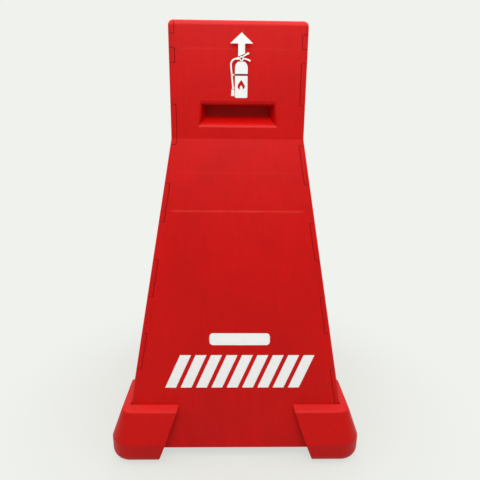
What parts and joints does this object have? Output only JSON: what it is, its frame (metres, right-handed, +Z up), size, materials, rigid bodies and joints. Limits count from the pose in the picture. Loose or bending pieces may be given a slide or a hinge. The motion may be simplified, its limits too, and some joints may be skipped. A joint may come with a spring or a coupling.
{
  "type": "fire extinguisher stand",
  "caption": "Tall square floor stand of finger-jointed red panels on corner feet; holds a fire extinguisher upright on an inner shelf under its open top.",
  "frame": {"origin": "on the floor, in the middle of the four feet", "axes": "+Z up, the front face with the sign towards -Y, +X to the front's right"},
  "size_m": [0.61, 0.61, 1.016],
  "materials": {
    "panel_plastic": "satin moulded red plastic",
    "foot_plastic": "satin moulded red plastic",
    "shelf_plastic": "matt moulded red plastic",
    "pad_rubber": "matt black rubber",
    "peg_plastic": "black moulded nylon"
  },
  "bodies": {
    "root": {"front_panel": "panel_plastic", "right_panel": "panel_plastic", "rear_panel": "panel_plastic", "left_panel": "panel_plastic", "front_right_foot": "foot_plastic", "rear_right_foot": "foot_plastic", "rear_left_foot": "foot_plastic", "front_left_foot": "foot_plastic", "front_right_foot_pad": "pad_rubber", "rear_right_foot_pad": "pad_rubber", "rear_left_foot_pad": "pad_rubber", "front_left_foot_pad": "pad_rubber", "front_right_corner_pegs": "peg_plastic", "rear_right_corner_pegs": "peg_plastic", "rear_left_corner_pegs": "peg_plastic", "front_left_corner_pegs": "peg_plastic", "front_right_foot_pegs": "peg_plastic", "rear_right_foot_pegs": "peg_plastic", "rear_left_foot_pegs": "peg_plastic", "front_left_foot_pegs": "peg_plastic", "extinguisher_shelf": "shelf_plastic"}
  },
  "joints": []
}
